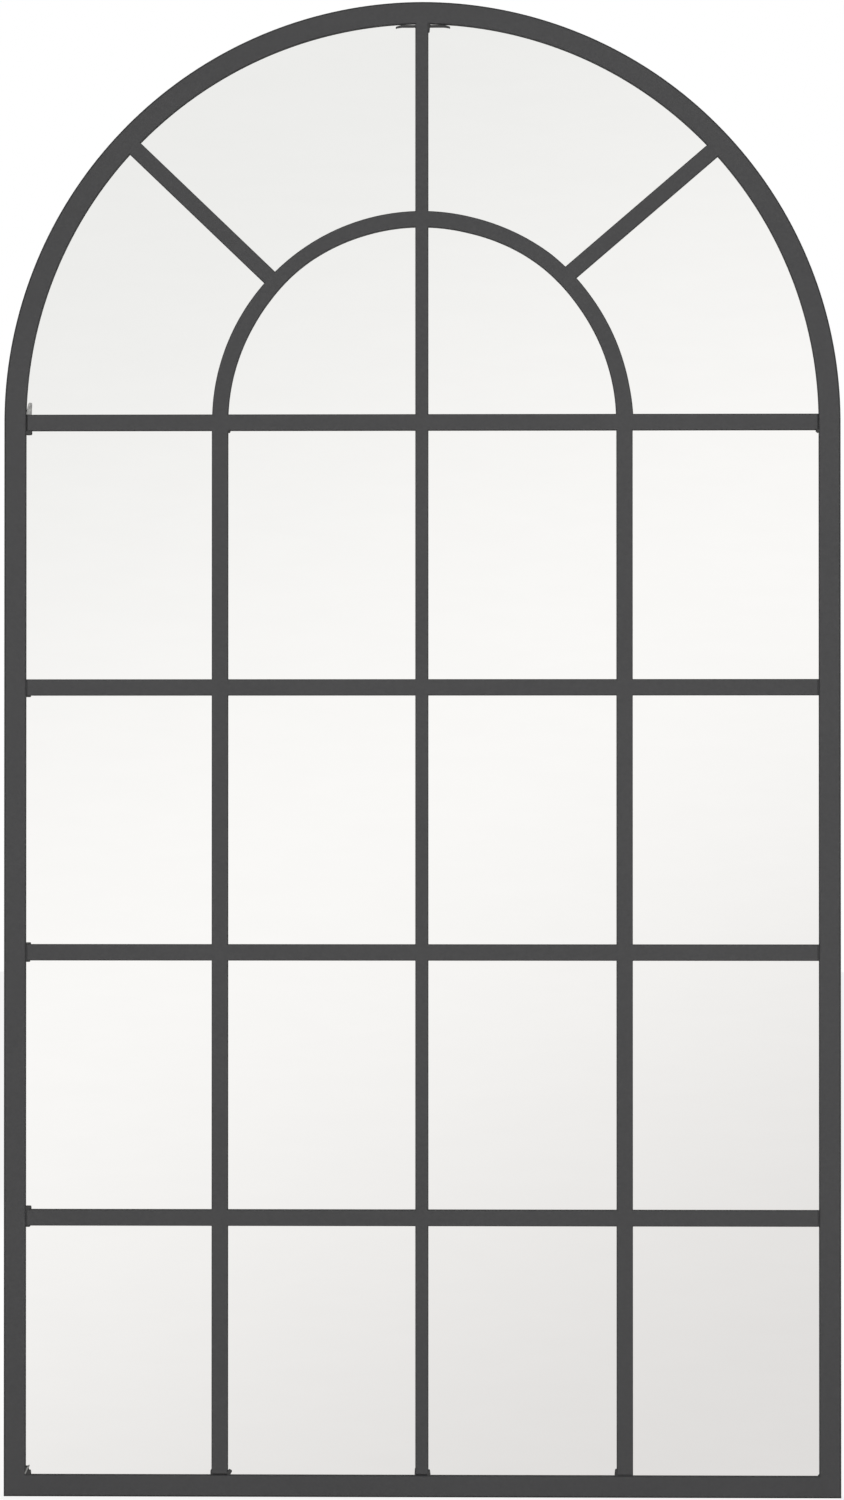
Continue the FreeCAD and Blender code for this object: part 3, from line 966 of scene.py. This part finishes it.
# Neutral-cure silicone, grey: pressed out from behind the frame, smeared and left, so it is
# soft-edged, satin and uneven in tone. The same grey is also a painted highlight on a corner weld.
dabShape = {
    "siliconeDab": {
        "x": -362.7, "z": 41.4, "width": 5.4, "height": 11.6, "front": -17.6, "back": -15.98,
        "lean": 1.2, "tip": 0.6, "turn": 0,
    },
    # a light grey ridge laid along the weld lump in the lower left corner: a painted highlight on that
    # weld, in the silicone's grey
    "siliconeStreak": {
        "x": -363.7, "z": -935.6, "width": 1.7, "height": 8.6, "front": -19.9, "back": -16.4,
        "lean": 0.0, "tip": 0.8, "turn": 24,
    },
}
siliconeAndPaintedHighlight, tree, shader = newMaterial("greySiliconeAndPaintedHighlight", Roughness=0.4, IOR=1.42)
place = patternPlace(tree)
smear = noiseOf(tree, place, 3.5, 3.0)
tree.links.new(mixColours(tree, smear, "#636362", "#a6a6a4"), shader.inputs["Base Color"])
tree.links.new(bumpFrom(tree, smear, 0.2), shader.inputs["Normal"])
for name, dab in dabShape.items():
    blob = startPiece(
        name, "cube", (dab["width"], dab["back"] - dab["front"], dab["height"]),
        (0, (dab["front"] + dab["back"]) / 2, 0),
    )
    pick("FACE", lambda m, n: n.z > 0.9)
    moveBy(dab["lean"], 0, 0)
    pinch = (dab["width"] / 4 + dab["lean"] / 2) * mm
    bpy.ops.transform.resize(value=(dab["tip"], 1, 1), center_override=(pinch, 0, 0))
    bpy.ops.mesh.select_all(action="SELECT")
    bpy.ops.mesh.subdivide(number_cuts=2, fractal=0.4, seed=3)
    softened(blob)
    placed = copyPiece(blob, name, (dab["x"], 0, dab["z"]), dab["turn"])
    bpy.data.objects.remove(blob)
    placed.name = name
    finishPiece(placed, siliconeAndPaintedHighlight, "bedding_foam", smooth=50)
print("front welds made")


# floor, light and camera

# the camera sees the floor as nearly white, the mirror doesn't see it at all
floorFinish = {"tone": "#dcdad6", "deep": "#d8d6d2", "seenTone": "#626160", "glow": 0.86, "size": 30000.0}
floor = startPiece(
    "floor", "plane", (floorFinish["size"], floorFinish["size"], 1), (0, 0, sizes["bottom"]),
)
clearSelection()
floorPaint = bpy.data.materials.new("paleStudioFloor")
floorPaint.use_nodes = True
tree = floorPaint.node_tree
tree.nodes.clear()
ray = addNode(tree, "LightPath")
mottle = noiseOf(tree, patternPlace(tree), 300, 3.0)
mottled = mixColours(tree, mottle, floorFinish["deep"], floorFinish["tone"])
pale = addNode(tree, "BsdfDiffuse", links={"Color": mottled})
seen = addNode(tree, "BsdfDiffuse", values={"Color": linear(floorFinish["seenTone"])})
glow = addNode(tree, "Emission", values={"Strength": floorFinish["glow"]})
seenFloor = addNode(tree, "AddShader", links={0: seen.outputs[0], 1: glow.outputs[0]})
byCamera = mixShaders(tree, ray.outputs["Is Camera Ray"], pale, seenFloor)
clear = addNode(tree, "BsdfTransparent")
byGloss = mixShaders(tree, ray.outputs["Is Glossy Ray"], byCamera, clear)
addNode(tree, "OutputMaterial", links={"Surface": byGloss.outputs[0]})
floor.data.materials.append(floorPaint)

# the studio that the mirror faces: pale, a little brighter at its middle and falling off
# down to the right
studio = {
    "upperLeft": "#f0f0ef", "middle": "#fdfcfb", "lowerRight": "#e1dfde", "middleAt": 0.445,
    "slant": (0.469, 0, -0.883), "from": -0.1417, "to": 0.1416,
    "side": 0.22, "sideFrom": 0.33, "sideTo": 0.84, "behind": 0.6, "ahead": 0.03, "plain": 0.36,
}
world = bpy.data.worlds.new("studio")
bpy.context.scene.world = world
world.use_nodes = True
tree = world.node_tree
tree.nodes.clear()
ray = addNode(tree, "LightPath")
direction = addNode(tree, "TexCoord").outputs["Generated"]
slant = addNode(
    tree, "VectorMath", {"operation": "DOT_PRODUCT"}, {1: studio["slant"]}, {0: direction},
).outputs["Value"]
slantPlace = addNode(
    tree, "MapRange", values={"From Min": studio["from"], "From Max": studio["to"]}, links={"Value": slant},
).outputs[0]
ramp = addNode(tree, "ValToRGB", links={"Fac": slantPlace})
ramp.color_ramp.interpolation = "EASE"
ramp.color_ramp.elements[0].color = linear(studio["upperLeft"])
ramp.color_ramp.elements[1].color = linear(studio["lowerRight"])
middle = ramp.color_ramp.elements.new(studio["middleAt"])
middle.color = linear(studio["middle"])
# bright in front, where the mirror looks, dim to the sides and brighter again behind
ahead = addNode(tree, "SeparateXYZ", links={0: direction}).outputs["Y"]
around = addNode(
    tree, "MapRange", values={"From Min": -1.0, "From Max": 1.0}, links={"Value": ahead},
).outputs[0]
sides = addNode(tree, "ValToRGB", links={"Fac": around})
sides.color_ramp.interpolation = "EASE"
sides.color_ramp.elements[0].position = studio["ahead"]
sides.color_ramp.elements[0].color = (1, 1, 1, 1)
sides.color_ramp.elements[1].position = 1.0
sides.color_ramp.elements[1].color = [studio["behind"]] * 3 + [1]
for position in (studio["sideFrom"], studio["sideTo"]):
    dim = sides.color_ramp.elements.new(position)
    dim.color = [studio["side"]] * 3 + [1]
shown = multiplyColours(tree, ramp.outputs["Color"], sides.outputs["Color"])
plain = addNode(tree, "Background", values={"Color": (1, 1, 1, 1), "Strength": studio["plain"]})
mirrored = addNode(tree, "Background", links={"Color": shown})
white = addNode(tree, "Background", values={"Color": (1, 1, 1, 1), "Strength": 1.0})
byGloss = mixShaders(tree, ray.outputs["Is Glossy Ray"], plain, mirrored)
byCamera = mixShaders(tree, ray.outputs["Is Camera Ray"], byGloss, white)
addNode(tree, "OutputWorld", links={"Surface": byCamera.outputs[0]})

lampAim = (0, 0, -270)
lamps = {
    "overheadSoftbox": {"place": (700, -3300, 0), "size": 2600, "watts": 85},
    "leftFill": {"place": (-700, -3000, -1000), "size": 2000, "watts": 35},
    "backFill": {"place": (-600, 2600, 1500), "size": 2200, "watts": 84},
}
for name, lamp in lamps.items():
    data = bpy.data.lights.new(name, "AREA")
    data.size = lamp["size"] * mm
    data.energy = lamp["watts"]
    made = bpy.data.objects.new(name, data)
    bpy.context.scene.collection.objects.link(made)
    made.location = [c * mm for c in lamp["place"]]
    aim = Vector(lampAim) * mm - made.location
    made.rotation_euler = aim.to_track_quat("-Z", "Y").to_euler()
    made.visible_camera = False
    made.visible_glossy = False

# standing 5 m back, a hand's width right of the middle and turned back to it
viewFrom = {
    "place": (101.8, -5000.0, -317.1), "up": 0.505, "left": 1.169, "lens": 129.96, "sensor": 36,
}
cameraData = bpy.data.cameras.new("camera")
cameraData.lens = viewFrom["lens"]
cameraData.sensor_width = viewFrom["sensor"]
cameraData.clip_end = 100
camera = bpy.data.objects.new("camera", cameraData)
bpy.context.scene.collection.objects.link(camera)
camera.location = [c * mm for c in viewFrom["place"]]
camera.rotation_euler = (math.radians(90 + viewFrom["up"]), 0, math.radians(viewFrom["left"]))
bpy.context.scene.camera = camera
bpy.context.scene.view_settings.view_transform = "Standard"
print("floor, light and camera set")
